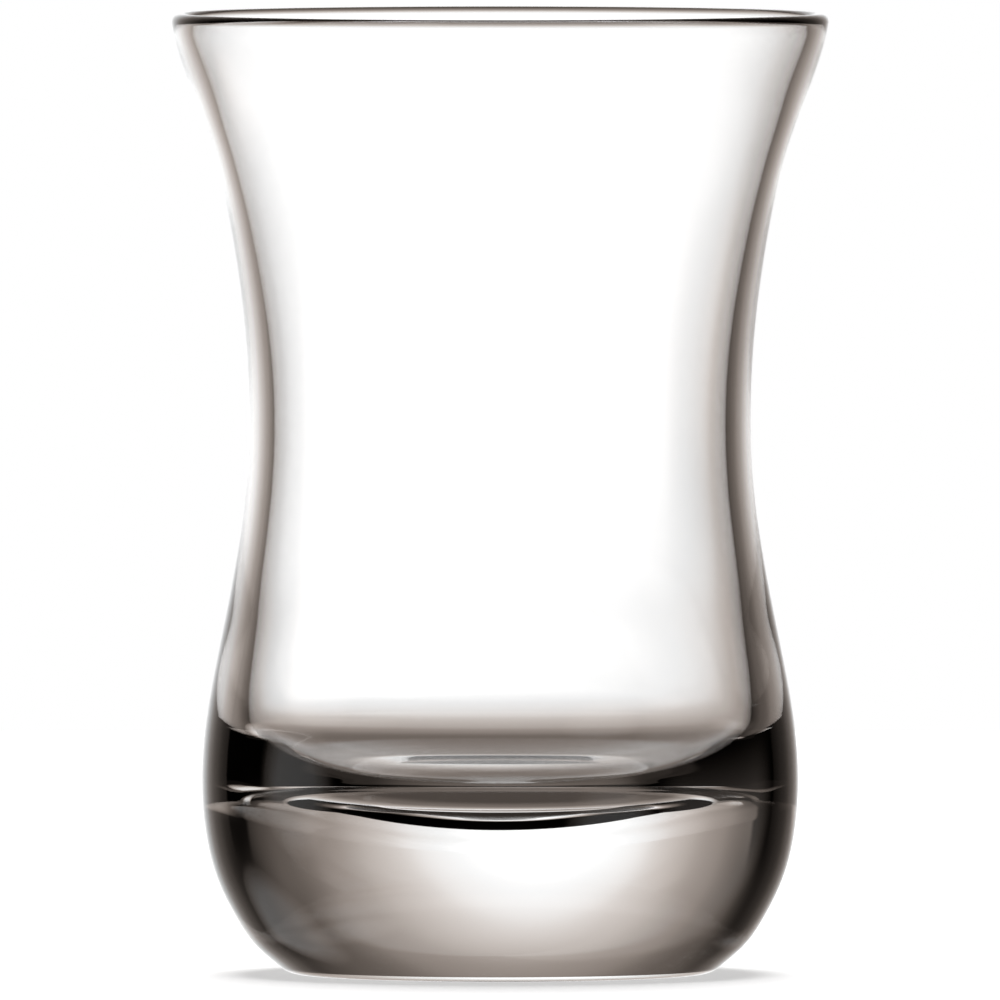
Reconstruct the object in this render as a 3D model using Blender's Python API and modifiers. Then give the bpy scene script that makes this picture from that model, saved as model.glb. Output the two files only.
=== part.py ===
"""Waisted tea glass: one turned piece of clear glass, standing on a ring under a thick solid base.

Lengths are in metres and +Z is up. The origin is the middle of the foot, on the surface it stands on.
"""

import math

import bpy
import numpy as np

# Whole glass
HEIGHT = 0.0880
SIDES = 64

# Rim: the wall leans out at the top, and its end is fire-polished round
RIM_RADIUS = 0.03013
RIM_THICKNESS = 0.00160
RIM_LEAN = math.radians(10)

# Outside of the wall, belly and base
WAIST_RADIUS = 0.02300
WAIST_HEIGHT = 0.0522
BELLY_RADIUS = 0.02733
BELLY_HEIGHT = 0.0172
OUTSIDE = (
    (0.0022, 0.02200),
    (0.0050, 0.02410),
    (0.0086, 0.02587),
    (0.0123, 0.02687),
    (BELLY_HEIGHT, BELLY_RADIUS),
    (0.0233, 0.02694),
    (0.0297, 0.02580),
    (0.0379, 0.02420),
    (0.0450, 0.02323),
    (WAIST_HEIGHT, WAIST_RADIUS),
    (0.0600, 0.02347),
    (0.0681, 0.02463),
    (0.0764, 0.02660),
)

# Foot: the ring that it stands on, the rounded corner outside it and the hollow inside it
FOOT_RADIUS = 0.0183
FOOT_CORNER_RADIUS = 0.0030
FOOT_CORNER_TURN = math.radians(40)
HOLLOW_RADIUS = 0.0142
HOLLOW_DEPTH = 0.0009

# Cavity: a dished floor, the rounded corner round it, then the wall inside
FLOOR_HEIGHT = 0.0131
FLOOR_DISH_RADIUS = 0.062
CAVITY_CORNER_RADIUS = 0.0080
CAVITY_CORNER_OUT = 0.0232
INSIDE = (
    (0.0297, 0.02260),
    (0.0342, 0.02213),
    (0.0434, 0.02104),
    (0.0526, 0.02076),
    (0.0617, 0.02170),
    (0.0709, 0.02350),
    (0.0800, 0.02605),
)

# Points along each stretch of the outline
FLOOR_POINTS = 5
CAVITY_CORNER_POINTS = 6
INSIDE_POINTS = 13
RIM_POINTS = 4
OUTSIDE_POINTS = 22
CORNER_POINTS = 4
HOLLOW_POINTS = 5


def smooth_curve(stations, slopes, heights):
    """Radii at these heights on the cubic curve through the stations, with the slopes given at its two ends."""
    z, r = np.array(stations).T
    gap = np.diff(z)
    rise = np.diff(r) / gap
    matrix = np.diag(np.concatenate([[2 * gap[0]], 2 * (gap[:-1] + gap[1:]), [2 * gap[-1]]]))
    matrix += np.diag(gap, 1) + np.diag(gap, -1)
    bends = np.linalg.solve(matrix, 6 * np.diff(np.concatenate([[slopes[0]], rise, [slopes[1]]])))
    i = np.clip(np.searchsorted(z, heights) - 1, 0, len(gap) - 1)
    up, down, g = heights - z[i], z[i + 1] - heights, gap[i]
    curved = (bends[i] * down**3 + bends[i + 1] * up**3) / (6 * g)
    return curved + (r[i] / g - bends[i] * g / 6) * down + (r[i + 1] / g - bends[i + 1] * g / 6) * up


def cavity_corner():
    """The middle of the cavity's corner arc, and how far the floor has turned up where the arc starts."""
    reach = FLOOR_DISH_RADIUS - CAVITY_CORNER_RADIUS
    radius = CAVITY_CORNER_OUT - CAVITY_CORNER_RADIUS
    turn = math.asin(radius / reach)
    return radius, FLOOR_HEIGHT + FLOOR_DISH_RADIUS - reach * math.cos(turn), turn


def floor_points():
    """The dished floor, from its middle out to the cavity's corner."""
    for turn in np.linspace(0, cavity_corner()[2], FLOOR_POINTS + 1)[:-1]:
        yield FLOOR_DISH_RADIUS * math.sin(turn), FLOOR_HEIGHT + FLOOR_DISH_RADIUS * (1 - math.cos(turn))


def cavity_corner_points():
    """The rounded corner between the floor and the wall inside."""
    radius, height, start = cavity_corner()
    for turn in np.linspace(start, math.pi / 2, CAVITY_CORNER_POINTS):
        yield radius + CAVITY_CORNER_RADIUS * math.sin(turn), height - CAVITY_CORNER_RADIUS * math.cos(turn)


def rim_point(turn):
    """The point of the rim's round end at this turn: 0 is its widest ring, and a quarter turn its top."""
    half = RIM_THICKNESS / 2
    return RIM_RADIUS - half + half * math.cos(turn), HEIGHT - half + half * math.sin(turn)


def inside_points():
    """The wall inside, from the cavity's corner up to the rim's round end."""
    start = cavity_corner()[1]
    radius, end = rim_point(math.pi - RIM_LEAN)
    stations = ((start, CAVITY_CORNER_OUT), *INSIDE, (end, radius))
    heights = np.linspace(start, end, INSIDE_POINTS + 1)[1:]
    return zip(smooth_curve(stations, (0, math.tan(RIM_LEAN)), heights), heights)


def rim_points():
    """Over the rim's round end, through its top and its widest ring."""
    inner_side = np.linspace(math.pi - RIM_LEAN, math.pi / 2, RIM_POINTS + 1)[1:]
    outer_side = np.linspace(math.pi / 2, 0, RIM_POINTS + 1)[1:]
    for turn in (*inner_side, *outer_side, -RIM_LEAN):
        yield rim_point(turn)


def outside_points():
    """The outer wall, from the rim down to the foot's rounded corner."""
    corner = (
        FOOT_CORNER_RADIUS * (1 - math.cos(FOOT_CORNER_TURN)),
        FOOT_RADIUS + FOOT_CORNER_RADIUS * math.sin(FOOT_CORNER_TURN),
    )
    radius, start = rim_point(-RIM_LEAN)
    stations = (corner, *OUTSIDE, (start, radius))
    slopes = (1 / math.tan(FOOT_CORNER_TURN), math.tan(RIM_LEAN))
    # Closer together towards the foot, where the outline turns fastest
    share = np.linspace(1, 0, OUTSIDE_POINTS + 1)[1:]
    heights = corner[0] + (start - corner[0]) * share**1.5
    return zip(smooth_curve(stations, slopes, heights), heights)


def corner_points():
    """The foot's rounded corner, down to the ring that it stands on."""
    for turn in np.linspace(FOOT_CORNER_TURN, 0, CORNER_POINTS + 1)[1:]:
        yield FOOT_RADIUS + FOOT_CORNER_RADIUS * math.sin(turn), FOOT_CORNER_RADIUS * (1 - math.cos(turn))


def hollow_points():
    """The shallow hollow underneath, from the ring's inner edge to the axis."""
    for radius in np.linspace(HOLLOW_RADIUS, 0, HOLLOW_POINTS):
        yield radius, HOLLOW_DEPTH * (1 - (radius / HOLLOW_RADIUS) ** 2)


def outline():
    """The half section, from the middle of the cavity's floor round to the middle of the underside."""
    cavity = [*floor_points(), *cavity_corner_points(), *inside_points()]
    outer_side = [*rim_points(), *outside_points()]
    underside = [*corner_points(), *hollow_points()]
    return cavity + outer_side + underside


def clear_glass():
    """Clear soda-lime glass."""
    material = bpy.data.materials.new("clear_glass")
    material.use_nodes = True
    shader = material.node_tree.nodes["Principled BSDF"]
    shader.inputs["Base Color"].default_value = (0.96, 0.97, 0.97, 1)
    shader.inputs["Metallic"].default_value = 0
    shader.inputs["Roughness"].default_value = 0.02
    shader.inputs["IOR"].default_value = 1.52
    shader.inputs["Transmission Weight"].default_value = 1
    return material


def turned(name, points, collection, material):
    """An object made by turning a half section once round the Z axis."""
    mesh = bpy.data.meshes.new(name)
    corners = [(radius, 0, height) for radius, height in points]
    mesh.from_pydata(corners, [(i, i + 1) for i in range(len(corners) - 1)], [])
    mesh.materials.append(material)
    piece = bpy.data.objects.new(name, mesh)
    collection.objects.link(piece)
    screw = piece.modifiers.new("turn", "SCREW")
    screw.axis = "Z"
    screw.angle = math.tau
    screw.steps = screw.render_steps = SIDES
    screw.use_merge_vertices = True
    screw.merge_threshold = 0.00001
    screw.use_smooth_shade = True
    return piece


def main():
    for leftover in list(bpy.data.objects):
        bpy.data.objects.remove(leftover)
    collection = bpy.data.collections.new("waisted_tea_glass")
    bpy.context.scene.collection.children.link(collection)
    turned("glass", outline(), collection, clear_glass())


main()
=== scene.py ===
"""Waisted tea glass: the smoothly turned, clear glass itself, and the studio that it stands in.

Lengths are in metres and +Z is up. The origin is the middle of the foot. The tables of light hold degrees,
with azimuths counted from straight behind the glass towards the right. All other angles are in radians.
"""

import math

import bpy
import numpy as np
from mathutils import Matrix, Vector


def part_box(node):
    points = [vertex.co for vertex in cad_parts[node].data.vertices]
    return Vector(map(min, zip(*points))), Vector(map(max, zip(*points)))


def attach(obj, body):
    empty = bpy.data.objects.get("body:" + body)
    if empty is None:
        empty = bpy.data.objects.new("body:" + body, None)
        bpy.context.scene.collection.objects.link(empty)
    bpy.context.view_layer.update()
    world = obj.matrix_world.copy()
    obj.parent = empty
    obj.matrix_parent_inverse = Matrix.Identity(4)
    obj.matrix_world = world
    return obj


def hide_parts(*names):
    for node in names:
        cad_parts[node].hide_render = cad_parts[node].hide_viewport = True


bl_info = {
    "name": "Waisted tea glass",
    "version": (1, 0, 0),
    "blender": (4, 5, 0),
    "location": "3D View > Sidebar > Tea glass",
    "description": "Turns a waisted tea glass, gives it clear glass and lights it in a pale studio",
    "category": "Add Mesh",
}

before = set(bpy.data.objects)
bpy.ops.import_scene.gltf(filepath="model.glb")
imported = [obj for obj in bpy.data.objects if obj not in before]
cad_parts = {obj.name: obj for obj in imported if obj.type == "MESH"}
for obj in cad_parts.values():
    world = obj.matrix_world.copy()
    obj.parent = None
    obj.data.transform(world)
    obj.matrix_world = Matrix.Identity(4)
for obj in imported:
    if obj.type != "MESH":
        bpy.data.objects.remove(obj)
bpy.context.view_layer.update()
NODE = "glass"
NODE_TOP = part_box(NODE)[1]

# Outside of the wall, as (height, radius) from the foot's corner up to the rim
OUTSIDE = (
    (0.0022, 0.02200),
    (0.0050, 0.02410),
    (0.0086, 0.02587),
    (0.0123, 0.02687),
    (0.0172, 0.02733),
    (0.0233, 0.02694),
    (0.0297, 0.02580),
    (0.0379, 0.02420),
    (0.0450, 0.02323),
    (0.0522, 0.02300),
    (0.0600, 0.02347),
    (0.0681, 0.02463),
    (0.0764, 0.02660),
)

# Inside of the wall, from the cavity's corner up to the rim
INSIDE = (
    (0.0297, 0.02260),
    (0.0342, 0.02213),
    (0.0434, 0.02104),
    (0.0526, 0.02076),
    (0.0617, 0.02170),
    (0.0709, 0.02350),
    (0.0800, 0.02605),
)

# Points along each stretch of the section
FLOOR_POINTS = 18
CAVITY_CORNER_POINTS = 24
INSIDE_POINTS = 64
RIM_POINTS = 12
OUTSIDE_POINTS = 96
FOOT_CORNER_POINTS = 14
HOLLOW_POINTS = 16

# Points of the turned glass that are closer together than this are welded
WELD_DISTANCE = 0.000001

# Corners of the round table top
TABLE_SIDES = 96

# Where the lamp stands. It is a sun lamp, so only its direction changes the light.
LAMP_PLACE = (0, 1, 1)

# Studio backdrop: the (azimuth, elevation) where it glows most, and its level at so many degrees from there
GLOW_MIDDLE = (-5, -0.5)
GLOW_FALLOFF = (
    (0, 1.36),
    (9, 1.19),
    (12, 1.03),
    (16, 0.88),
    (20, 0.63),
    (25, 0.43),
    (29, 0.3),
    (33, 0.23),
    (37, 0.145),
    (41, 0.1),
    (44, 0.085),
    (48, 0.055),
    (60, 0.0),
    (180, 0.0),
)

# The backdrop ends this far round to the left and to the right. Within a band at the horizon those edges are
# crisp, and above and below it they are soft. A softness is how far the light fades to either side of an edge.
SIDE_EDGE = 47.5
CRISP = 1
SOFT = 10
BAND_EDGE = 10
BAND_SOFTNESS = 5
LOWER_EDGE = -64
LOWER_SOFTNESS = 8

# The faint light that comes from everywhere
FAINT_LIGHT = 0.004

# The dim parts of the studio are a little warmer than the bright ones
DIM_TINT = (1.2, 0.98, 0.84, 1)
BRIGHT_TINT = (1, 1, 1, 1)

# White paper round the glass, at these (azimuth, elevation), and its level at so many degrees from there
PAPER = ((-93, -3), (-52, -34), (135, -15))
PAPER_FALLOFF = (
    (0, 0.9),
    (8, 0.85),
    (12, 0.65),
    (17, 0.25),
    (22, 0.0),
    (180, 0.0),
)

# Soft lights round the glass: level, side (-1 left, 1 right, 0 both), how far round from straight behind the
# glass it starts and ends, and how high above the horizon, in degrees. None leaves that edge open.
SOFT_LIGHTS = {
    "left table": (0.10, -1, 66, 112, -30, -6),
    "right table": (0.50, 1, 56, 111, None, -2),
    "table round about": (0.125, 0, 46, None, -36, -18),
    "table in front": (1.0, 0, 81, None, None, -40),
    "under the foot": (0.06, 0, None, None, None, -38),
    "ceiling": (0.02, 0, None, None, 34, None),
}
SOFT_LIGHT_SOFTNESS = 8


# Settings


class TeaGlassShape(bpy.types.PropertyGroup):
    """Sizes of the glass."""

    height: bpy.props.FloatProperty(
        name="Height", description="From the table to the top of the rim", default=NODE_TOP.z, unit="LENGTH"
    )
    rim_radius: bpy.props.FloatProperty(
        name="Rim radius", description="Outer radius of the rim", default=NODE_TOP.x, unit="LENGTH"
    )
    rim_thickness: bpy.props.FloatProperty(
        name="Rim thickness", description="Thickness of the fire-polished rim", default=0.0016, unit="LENGTH"
    )
    rim_lean: bpy.props.FloatProperty(
        name="Rim lean",
        description="How far the wall leans out under the rim",
        default=math.radians(10),
        subtype="ANGLE",
    )
    foot_radius: bpy.props.FloatProperty(
        name="Foot radius",
        description="Outer radius of the flat ring it stands on",
        default=0.0183,
        unit="LENGTH",
    )
    foot_corner: bpy.props.FloatProperty(
        name="Foot corner",
        description="Radius of the rounded corner outside the ring",
        default=0.0030,
        unit="LENGTH",
    )
    foot_turn: bpy.props.FloatProperty(
        name="Foot turn", description="How far the corner turns up", default=math.radians(40), subtype="ANGLE"
    )
    hollow_radius: bpy.props.FloatProperty(
        name="Hollow radius", description="Radius of the hollow underneath", default=0.0142, unit="LENGTH"
    )
    hollow_depth: bpy.props.FloatProperty(
        name="Hollow depth", description="Depth of the hollow underneath", default=0.0009, unit="LENGTH"
    )
    floor_height: bpy.props.FloatProperty(
        name="Floor height", description="Height of the cavity floor's middle", default=0.0131, unit="LENGTH"
    )
    floor_dish: bpy.props.FloatProperty(
        name="Floor dish", description="Radius of the floor's dished curve", default=0.062, unit="LENGTH"
    )
    cavity_corner: bpy.props.FloatProperty(
        name="Cavity corner",
        description="Radius of the corner round the floor",
        default=0.0080,
        unit="LENGTH",
    )
    cavity_radius: bpy.props.FloatProperty(
        name="Cavity radius", description="Inner radius where that corner ends", default=0.0232, unit="LENGTH"
    )
    sides: bpy.props.IntProperty(name="Sides", description="Faces round the glass", default=256, min=24)


class TeaGlassFinish(bpy.types.PropertyGroup):
    """The clear glass."""

    tint: bpy.props.FloatVectorProperty(
        name="Tint",
        description="Colour that light keeps on its way through",
        default=(0.93, 0.93, 0.92),
        subtype="COLOR",
    )
    density: bpy.props.FloatProperty(
        name="Density", description="How strongly the tint builds up with thickness, per metre", default=3.0
    )
    ior: bpy.props.FloatProperty(name="Index", description="Refractive index of soda-lime glass", default=1.5)
    ripple: bpy.props.FloatProperty(
        name="Ripple",
        description="Height of the faint ripples left by the mould",
        default=0.000004,
        unit="LENGTH",
    )
    ripple_length: bpy.props.FloatProperty(
        name="Ripple length", description="Distance from one ripple to the next", default=0.009, unit="LENGTH"
    )


class TeaGlassStudio(bpy.types.PropertyGroup):
    """The table, the light and the camera."""

    table_radius: bpy.props.FloatProperty(
        name="Table radius", description="Radius of the pale table top", default=0.6, unit="LENGTH"
    )
    table_glow: bpy.props.FloatProperty(
        name="Table glow", description="Light that the lit table top gives by itself", default=0.55
    )
    grain: bpy.props.FloatProperty(
        name="Grain", description="Depth of the table top's faint grain", default=0.00002, unit="LENGTH"
    )
    grain_length: bpy.props.FloatProperty(
        name="Grain length",
        description="Distance from one bump of the grain to the next",
        default=0.0006,
        unit="LENGTH",
    )
    lamp_strength: bpy.props.FloatProperty(
        name="Lamp strength", description="Strength of the lamp that casts the glass's shadow", default=3.2
    )
    lamp_height: bpy.props.FloatProperty(
        name="Lamp height",
        description="Height of that lamp above the horizon",
        default=math.radians(76),
        subtype="ANGLE",
    )
    lamp_size: bpy.props.FloatProperty(
        name="Lamp size",
        description="Angle across the lamp, which softens the shadow",
        default=math.radians(40),
        subtype="ANGLE",
    )
    camera_distance: bpy.props.FloatProperty(
        name="Camera distance",
        description="Level distance from the glass to the camera",
        default=4.2,
        unit="LENGTH",
    )
    camera_height: bpy.props.FloatProperty(
        name="Camera height", description="Height of the camera above the table", default=0.178, unit="LENGTH"
    )
    aim_height: bpy.props.FloatProperty(
        name="Aim height",
        description="Height on the glass's axis that the camera points at",
        default=0.0434,
        unit="LENGTH",
    )
    view_width: bpy.props.FloatProperty(
        name="View width",
        description="Width that the picture spans at the glass",
        default=0.0916,
        unit="LENGTH",
    )


# Section of the glass


def smooth_curve(stations, slopes, heights):
    """Radii at these heights on the cubic curve through the stations, with the slopes given at its ends."""
    z, r = np.array(stations).T
    gap = np.diff(z)
    rise = np.diff(r) / gap
    matrix = np.diag(np.concatenate([[2 * gap[0]], 2 * (gap[:-1] + gap[1:]), [2 * gap[-1]]]))
    matrix += np.diag(gap, 1) + np.diag(gap, -1)
    bends = np.linalg.solve(matrix, 6 * np.diff(np.concatenate([[slopes[0]], rise, [slopes[1]]])))
    i = np.clip(np.searchsorted(z, heights) - 1, 0, len(gap) - 1)
    up, down, g = heights - z[i], z[i + 1] - heights, gap[i]
    curved = (bends[i] * down**3 + bends[i + 1] * up**3) / (6 * g)
    return curved + (r[i] / g - bends[i] * g / 6) * down + (r[i + 1] / g - bends[i + 1] * g / 6) * up


def rim_point(shape, turn):
    """(radius, height) on the rim's round end: a turn of 0 is its widest ring, and a quarter turn its top."""
    half = shape.rim_thickness / 2
    return shape.rim_radius - half + half * math.cos(turn), shape.height - half + half * math.sin(turn)


def cavity_section(shape):
    """(radius, height) from the middle of the cavity's floor, round its corner and up the wall to the rim."""
    reach = shape.floor_dish - shape.cavity_corner
    middle = shape.cavity_radius - shape.cavity_corner
    start = math.asin(middle / reach)
    height = shape.floor_height + shape.floor_dish - reach * math.cos(start)
    for turn in np.linspace(0, start, FLOOR_POINTS + 1)[:-1]:
        yield shape.floor_dish * math.sin(turn), shape.floor_height + shape.floor_dish * (1 - math.cos(turn))
    for turn in np.linspace(start, math.pi / 2, CAVITY_CORNER_POINTS):
        yield middle + shape.cavity_corner * math.sin(turn), height - shape.cavity_corner * math.cos(turn)
    radius, end = rim_point(shape, math.pi - shape.rim_lean)
    stations = ((height, shape.cavity_radius), *INSIDE, (end, radius))
    heights = np.linspace(height, end, INSIDE_POINTS + 1)[1:]
    yield from zip(smooth_curve(stations, (0, math.tan(shape.rim_lean)), heights), heights)


def outer_section(shape):
    """(radius, height) over the rim, down the outer wall and round the foot to the hollow's middle."""
    inner_side = np.linspace(math.pi - shape.rim_lean, math.pi / 2, RIM_POINTS + 1)[1:]
    outer_side = np.linspace(math.pi / 2, 0, RIM_POINTS + 1)[1:]
    for turn in (*inner_side, *outer_side, -shape.rim_lean):
        yield rim_point(shape, turn)
    corner = (
        shape.foot_corner * (1 - math.cos(shape.foot_turn)),
        shape.foot_radius + shape.foot_corner * math.sin(shape.foot_turn),
    )
    radius, start = rim_point(shape, -shape.rim_lean)
    stations = (corner, *OUTSIDE, (start, radius))
    slopes = (1 / math.tan(shape.foot_turn), math.tan(shape.rim_lean))
    heights = np.linspace(start, corner[0], OUTSIDE_POINTS + 1)[1:]
    yield from zip(smooth_curve(stations, slopes, heights), heights)
    for turn in np.linspace(shape.foot_turn, 0, FOOT_CORNER_POINTS + 1)[1:]:
        yield shape.foot_radius + shape.foot_corner * math.sin(turn), shape.foot_corner * (1 - math.cos(turn))
    for radius in np.linspace(shape.hollow_radius, 0, HOLLOW_POINTS):
        yield radius, shape.hollow_depth * (1 - (radius / shape.hollow_radius) ** 2)


# Modelling tools


def start_line(name):
    """A new mesh object in edit mode that holds one selected vertex, at the origin."""
    bpy.ops.object.select_all(action="DESELECT")
    bpy.ops.mesh.primitive_plane_add(location=(0, 0, 0))
    piece = bpy.context.object
    piece.name = piece.data.name = name
    bpy.ops.object.mode_set(mode="EDIT")
    bpy.ops.mesh.select_all(action="SELECT")
    bpy.ops.mesh.merge(type="CENTER")
    return piece


def draw_line(points):
    """Moves the selected vertex to the first (radius, height), and extrudes it on through the others."""
    here = Vector((0, 0, 0))
    for i, (radius, height) in enumerate(points):
        there = Vector((radius, 0, height))
        if i == 0:
            bpy.ops.transform.translate(value=there - here)
        else:
            bpy.ops.mesh.extrude_vertices_move(TRANSFORM_OT_translate={"value": there - here})
        here = there


def turn_line(sides):
    """Spins the drawn line once round the Z axis, closes its seam and poles, and leaves edit mode."""
    bpy.ops.mesh.select_all(action="SELECT")
    bpy.ops.mesh.spin(steps=sides, angle=math.tau, center=(0, 0, 0), axis=(0, 0, 1), use_auto_merge=True)
    bpy.ops.mesh.select_all(action="SELECT")
    bpy.ops.mesh.remove_doubles(threshold=WELD_DISTANCE)
    bpy.ops.mesh.normals_make_consistent(inside=False)
    bpy.ops.object.mode_set(mode="OBJECT")
    bpy.ops.object.shade_smooth()


# Materials


def new_material(name):
    """(material, its node tree, its Principled shader) under a new name."""
    material = bpy.data.materials.new(name)
    material.use_nodes = True
    tree = material.node_tree
    return material, tree, tree.nodes["Principled BSDF"]


def soft_bumps():
    """The node group that bends a surface's normal with soft bumps, so many to a metre and so deep."""
    group = bpy.data.node_groups.get("soft_bumps")
    if group:
        return group
    group = bpy.data.node_groups.new("soft_bumps", "ShaderNodeTree")
    group.interface.new_socket("Bumps", in_out="INPUT", socket_type="NodeSocketFloat")
    group.interface.new_socket("Depth", in_out="INPUT", socket_type="NodeSocketFloat")
    group.interface.new_socket("Normal", in_out="OUTPUT", socket_type="NodeSocketVector")
    given = group.nodes.new("NodeGroupInput")
    place = group.nodes.new("ShaderNodeTexCoord")
    noise = group.nodes.new("ShaderNodeTexNoise")
    bump = group.nodes.new("ShaderNodeBump")
    result = group.nodes.new("NodeGroupOutput")
    noise.inputs["Detail"].default_value = 1
    group.links.new(place.outputs["Object"], noise.inputs["Vector"])
    group.links.new(given.outputs["Bumps"], noise.inputs["Scale"])
    group.links.new(noise.outputs["Fac"], bump.inputs["Height"])
    group.links.new(given.outputs["Depth"], bump.inputs["Distance"])
    group.links.new(bump.outputs["Normal"], result.inputs["Normal"])
    return group


def add_bumps(tree, shader, length, depth):
    """Bends the shader's normal with bumps of this length and depth."""
    bumps = tree.nodes.new("ShaderNodeGroup")
    bumps.node_tree = soft_bumps()
    bumps.inputs["Bumps"].default_value = 1 / length
    bumps.inputs["Depth"].default_value = depth
    tree.links.new(bumps.outputs["Normal"], shader.inputs["Normal"])


def clear_glass(finish):
    """Polished soda-lime glass: faintly rippled by the mould, and a little greyer where it is thick."""
    material, tree, shader = new_material("clear_glass")
    shader.inputs["Base Color"].default_value = (1, 1, 1, 1)
    shader.inputs["Metallic"].default_value = 0
    shader.inputs["Roughness"].default_value = 0
    shader.inputs["IOR"].default_value = finish.ior
    shader.inputs["Transmission Weight"].default_value = 1

    body = tree.nodes.new("ShaderNodeVolumeAbsorption")
    body.inputs["Color"].default_value = (*finish.tint, 1)
    body.inputs["Density"].default_value = finish.density
    tree.links.new(body.outputs["Volume"], tree.nodes["Material Output"].inputs["Volume"])

    add_bumps(tree, shader, finish.ripple_length, finish.ripple)
    return material


def pale_table(studio):
    """Matt white table top with the faintest grain, which gives some light by itself."""
    material, tree, shader = new_material("pale_table")
    shader.inputs["Base Color"].default_value = (0.9, 0.9, 0.9, 1)
    shader.inputs["Roughness"].default_value = 0.9
    shader.inputs["Specular IOR Level"].default_value = 0
    shader.inputs["Emission Color"].default_value = (1, 1, 1, 1)
    shader.inputs["Emission Strength"].default_value = studio.table_glow
    add_bumps(tree, shader, studio.grain_length, studio.grain)
    return material


# Light


class Sky:
    """Builds the light round the glass, as nodes that work from the direction it comes from."""

    def __init__(self, tree):
        self.tree = tree
        place = tree.nodes.new("ShaderNodeTexCoord")
        unit = tree.nodes.new("ShaderNodeVectorMath")
        unit.operation = "NORMALIZE"
        tree.links.new(place.outputs["Generated"], unit.inputs[0])
        self.direction = unit.outputs["Vector"]
        split = tree.nodes.new("ShaderNodeSeparateXYZ")
        tree.links.new(self.direction, split.inputs["Vector"])
        self.round = self.degrees(self.maths("ARCTAN2", split.outputs["X"], split.outputs["Y"]))
        self.above = self.degrees(self.maths("ARCSINE", split.outputs["Z"]))

    def maths(self, operation, *values):
        """The output of a Math node whose inputs are these numbers or sockets."""
        node = self.tree.nodes.new("ShaderNodeMath")
        node.operation = operation
        for socket, value in zip(node.inputs, values):
            if isinstance(value, bpy.types.NodeSocket):
                self.tree.links.new(value, socket)
            else:
                socket.default_value = value
        return node.outputs["Value"]

    def degrees(self, radians):
        """The same angle in degrees."""
        return self.maths("DEGREES", radians)

    def edge(self, value, at, softness, rising=True):
        """A soft edge at this value: 0 below it and 1 above it, or the other way about."""
        node = self.tree.nodes.new("ShaderNodeMapRange")
        node.interpolation_type = "SMOOTHSTEP"
        self.tree.links.new(value, node.inputs["Value"])
        node.inputs["From Min"].default_value = at - softness
        node.inputs["From Max"].default_value = at + softness
        node.inputs["To Min"].default_value = 0 if rising else 1
        node.inputs["To Max"].default_value = 1 if rising else 0
        return node.outputs["Result"]

    def glow(self, azimuth, elevation, falloff):
        """Light that changes with the angle from one direction, as these (degrees, level) points say."""
        turn, tilt = math.radians(azimuth), math.radians(elevation)
        middle = (math.sin(turn) * math.cos(tilt), math.cos(turn) * math.cos(tilt), math.sin(tilt))
        facing = self.tree.nodes.new("ShaderNodeVectorMath")
        facing.operation = "DOT_PRODUCT"
        self.tree.links.new(self.direction, facing.inputs[0])
        facing.inputs[1].default_value = middle
        angle = self.degrees(self.maths("ARCCOSINE", facing.outputs["Value"]))
        widest = falloff[-1][0]
        brightest = falloff[0][1]
        node = self.tree.nodes.new("ShaderNodeFloatCurve")
        self.tree.links.new(self.maths("DIVIDE", angle, widest), node.inputs["Value"])
        line = node.mapping.curves[0]
        line.points[0].location = (0, 1)
        line.points[1].location = (1, falloff[-1][1] / brightest)
        for away, level in falloff[1:-1]:
            line.points.new(away / widest, level / brightest)
        for point in line.points:
            point.handle_type = "AUTO_CLAMPED"
        node.mapping.update()
        return self.maths("MULTIPLY", node.outputs["Value"], brightest)

    def panel(self, level, side, start, end, low, high):
        """A soft-edged patch of light, as one row of SOFT_LIGHTS says."""
        across = self.maths("MULTIPLY", self.round, side) if side else self.maths("ABSOLUTE", self.round)
        light = level
        for value, at, rising in (
            (across, start, True),
            (across, end, False),
            (self.above, low, True),
            (self.above, high, False),
        ):
            if at is not None:
                light = self.maths("MULTIPLY", light, self.edge(value, at, SOFT_LIGHT_SOFTNESS, rising))
        return light


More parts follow.
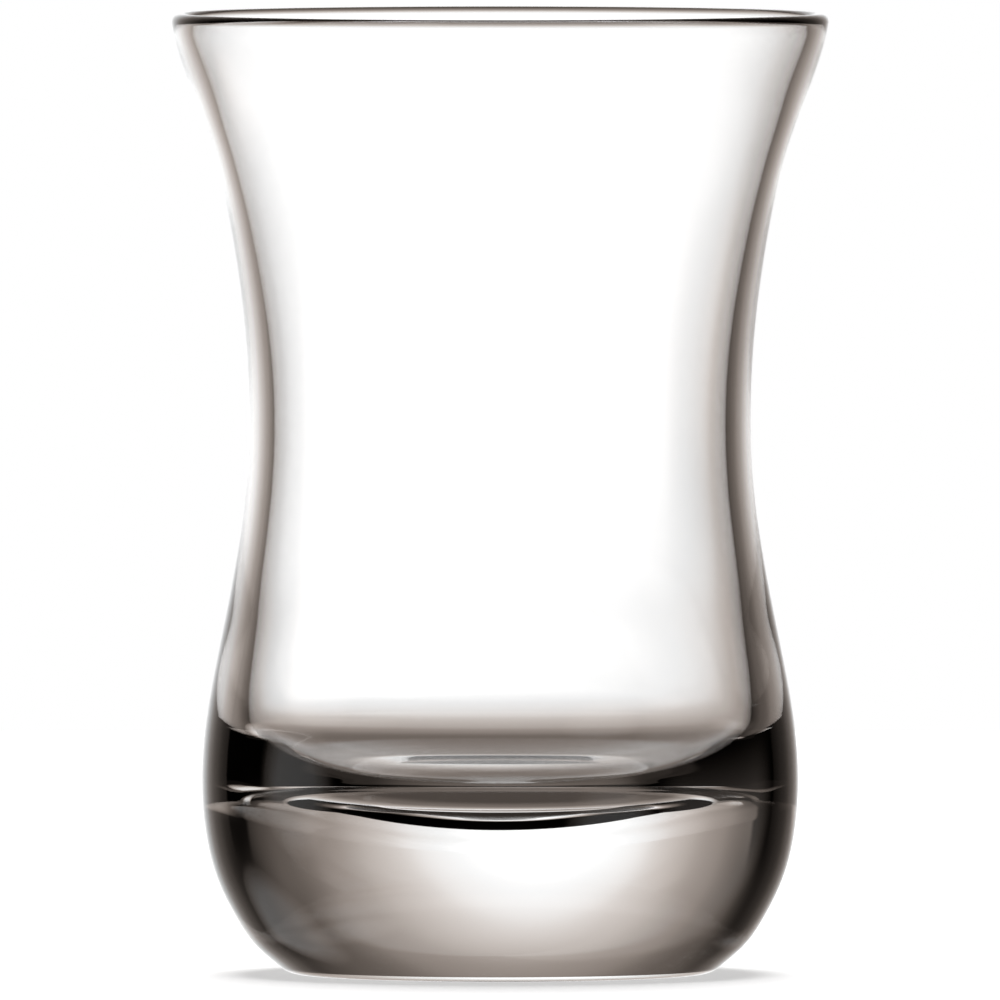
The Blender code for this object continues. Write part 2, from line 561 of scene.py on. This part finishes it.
def light_studio(world):
    """A glowing backdrop with dark wings beside it, soft light from the other sides, and white paper."""
    world.use_nodes = True
    tree = world.node_tree
    tree.nodes.clear()
    sky = Sky(tree)
    backdrop = sky.glow(*GLOW_MIDDLE, GLOW_FALLOFF)
    aside = sky.maths("ABSOLUTE", sky.round)
    crisp, soft = (sky.edge(aside, SIDE_EDGE, softness, rising=False) for softness in (CRISP, SOFT))
    in_band = sky.edge(sky.maths("ABSOLUTE", sky.above), BAND_EDGE, BAND_SOFTNESS, rising=False)
    sides = sky.maths("ADD", soft, sky.maths("MULTIPLY", in_band, sky.maths("SUBTRACT", crisp, soft)))
    lower_edge = sky.edge(sky.above, LOWER_EDGE, LOWER_SOFTNESS)
    total = sky.maths("MULTIPLY", sky.maths("MULTIPLY", backdrop, sides), lower_edge)
    total = sky.maths("ADD", total, FAINT_LIGHT)
    for row in SOFT_LIGHTS.values():
        total = sky.maths("ADD", total, sky.panel(*row))
    for azimuth, elevation in PAPER:
        total = sky.maths("MAXIMUM", total, sky.glow(azimuth, elevation, PAPER_FALLOFF))

    warmth = tree.nodes.new("ShaderNodeMix")
    warmth.data_type = "RGBA"
    tree.links.new(total, warmth.inputs["Factor"])
    warmth.inputs["A"].default_value = DIM_TINT
    warmth.inputs["B"].default_value = BRIGHT_TINT

    # Seen past the glass, the backdrop is plain white
    studio = tree.nodes.new("ShaderNodeBackground")
    plain = tree.nodes.new("ShaderNodeBackground")
    rays = tree.nodes.new("ShaderNodeLightPath")
    shown = tree.nodes.new("ShaderNodeMixShader")
    out = tree.nodes.new("ShaderNodeOutputWorld")
    plain.inputs["Color"].default_value = (1, 1, 1, 1)
    tree.links.new(warmth.outputs["Result"], studio.inputs["Color"])
    tree.links.new(total, studio.inputs["Strength"])
    tree.links.new(rays.outputs["Is Camera Ray"], shown.inputs["Fac"])
    tree.links.new(studio.outputs["Background"], shown.inputs[1])
    tree.links.new(plain.outputs["Background"], shown.inputs[2])
    tree.links.new(shown.outputs["Shader"], out.inputs["Surface"])


# Operators


class TEAGLASS_OT_turn_glass(bpy.types.Operator):
    """Turn the glass from its section and give it its clear finish"""

    bl_idname = "teaglass.turn_glass"
    bl_label = "Turn the glass"

    def execute(self, context):
        shape = context.scene.tea_glass_shape
        glass = start_line("tea_glass")
        draw_line([*cavity_section(shape), *outer_section(shape)])
        turn_line(shape.sides)
        # The vertices and faces of one closed surface without a hole through it outnumber its edges by two
        mesh = glass.data
        if len(mesh.vertices) + len(mesh.polygons) - len(mesh.edges) != 2:
            raise RuntimeError("The turned glass isn't one closed surface")
        glass.data.materials.append(clear_glass(context.scene.tea_glass_finish))
        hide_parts(NODE)
        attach(glass, "root")
        return {"FINISHED"}


class TEAGLASS_OT_set_stage(bpy.types.Operator):
    """Lay the pale table, light the studio and place the camera"""

    bl_idname = "teaglass.set_stage"
    bl_label = "Set the stage"

    def execute(self, context):
        scene = context.scene
        studio = scene.tea_glass_studio
        if studio.camera_height <= 0:
            raise RuntimeError("The camera would look up at the table from below")
        bpy.ops.object.select_all(action="DESELECT")
        bpy.ops.mesh.primitive_circle_add(vertices=TABLE_SIDES, radius=studio.table_radius, fill_type="NGON")
        table = context.object
        table.name = table.data.name = "table_top"
        table.data.materials.append(pale_table(studio))
        table.visible_transmission = False
        table.visible_glossy = False

        slope = studio.lamp_height - math.pi / 2
        bpy.ops.object.light_add(type="SUN", location=LAMP_PLACE, rotation=(slope, 0, 0))
        lamp = context.object
        lamp.name = lamp.data.name = "back_lamp"
        lamp.data.energy = studio.lamp_strength
        lamp.data.angle = studio.lamp_size
        lamp.visible_camera = lamp.visible_glossy = lamp.visible_transmission = False

        scene.world = bpy.data.worlds.new("studio")
        light_studio(scene.world)
        scene.view_settings.view_transform = "Standard"

        eye = Vector((0, -studio.camera_distance, studio.camera_height))
        sight = Vector((0, 0, studio.aim_height)) - eye
        bpy.ops.object.camera_add(location=eye, rotation=sight.to_track_quat("-Z", "Y").to_euler())
        camera = context.object
        camera.data.lens = camera.data.sensor_width * sight.length / studio.view_width
        scene.camera = camera
        return {"FINISHED"}


class TEAGLASS_PT_sidebar(bpy.types.Panel):
    """The glass's settings and steps, in the sidebar."""

    bl_label = "Tea glass"
    bl_space_type = "VIEW_3D"
    bl_region_type = "UI"
    bl_category = "Tea glass"

    def draw(self, context):
        layout = self.layout
        for group in ("tea_glass_shape", "tea_glass_finish", "tea_glass_studio"):
            settings = getattr(context.scene, group)
            box = layout.box()
            for name in settings.__annotations__:
                box.prop(settings, name)
        layout.operator(TEAGLASS_OT_turn_glass.bl_idname)
        layout.operator(TEAGLASS_OT_set_stage.bl_idname)


CLASSES = (
    TeaGlassShape,
    TeaGlassFinish,
    TeaGlassStudio,
    TEAGLASS_OT_turn_glass,
    TEAGLASS_OT_set_stage,
    TEAGLASS_PT_sidebar,
)


def register():
    for cls in CLASSES:
        bpy.utils.register_class(cls)
    bpy.types.Scene.tea_glass_shape = bpy.props.PointerProperty(type=TeaGlassShape)
    bpy.types.Scene.tea_glass_finish = bpy.props.PointerProperty(type=TeaGlassFinish)
    bpy.types.Scene.tea_glass_studio = bpy.props.PointerProperty(type=TeaGlassStudio)


def unregister():
    del bpy.types.Scene.tea_glass_studio
    del bpy.types.Scene.tea_glass_finish
    del bpy.types.Scene.tea_glass_shape
    for cls in reversed(CLASSES):
        bpy.utils.unregister_class(cls)


def main():
    register()
    bpy.ops.teaglass.turn_glass()
    bpy.ops.teaglass.set_stage()


if __name__ == "__main__":
    main()
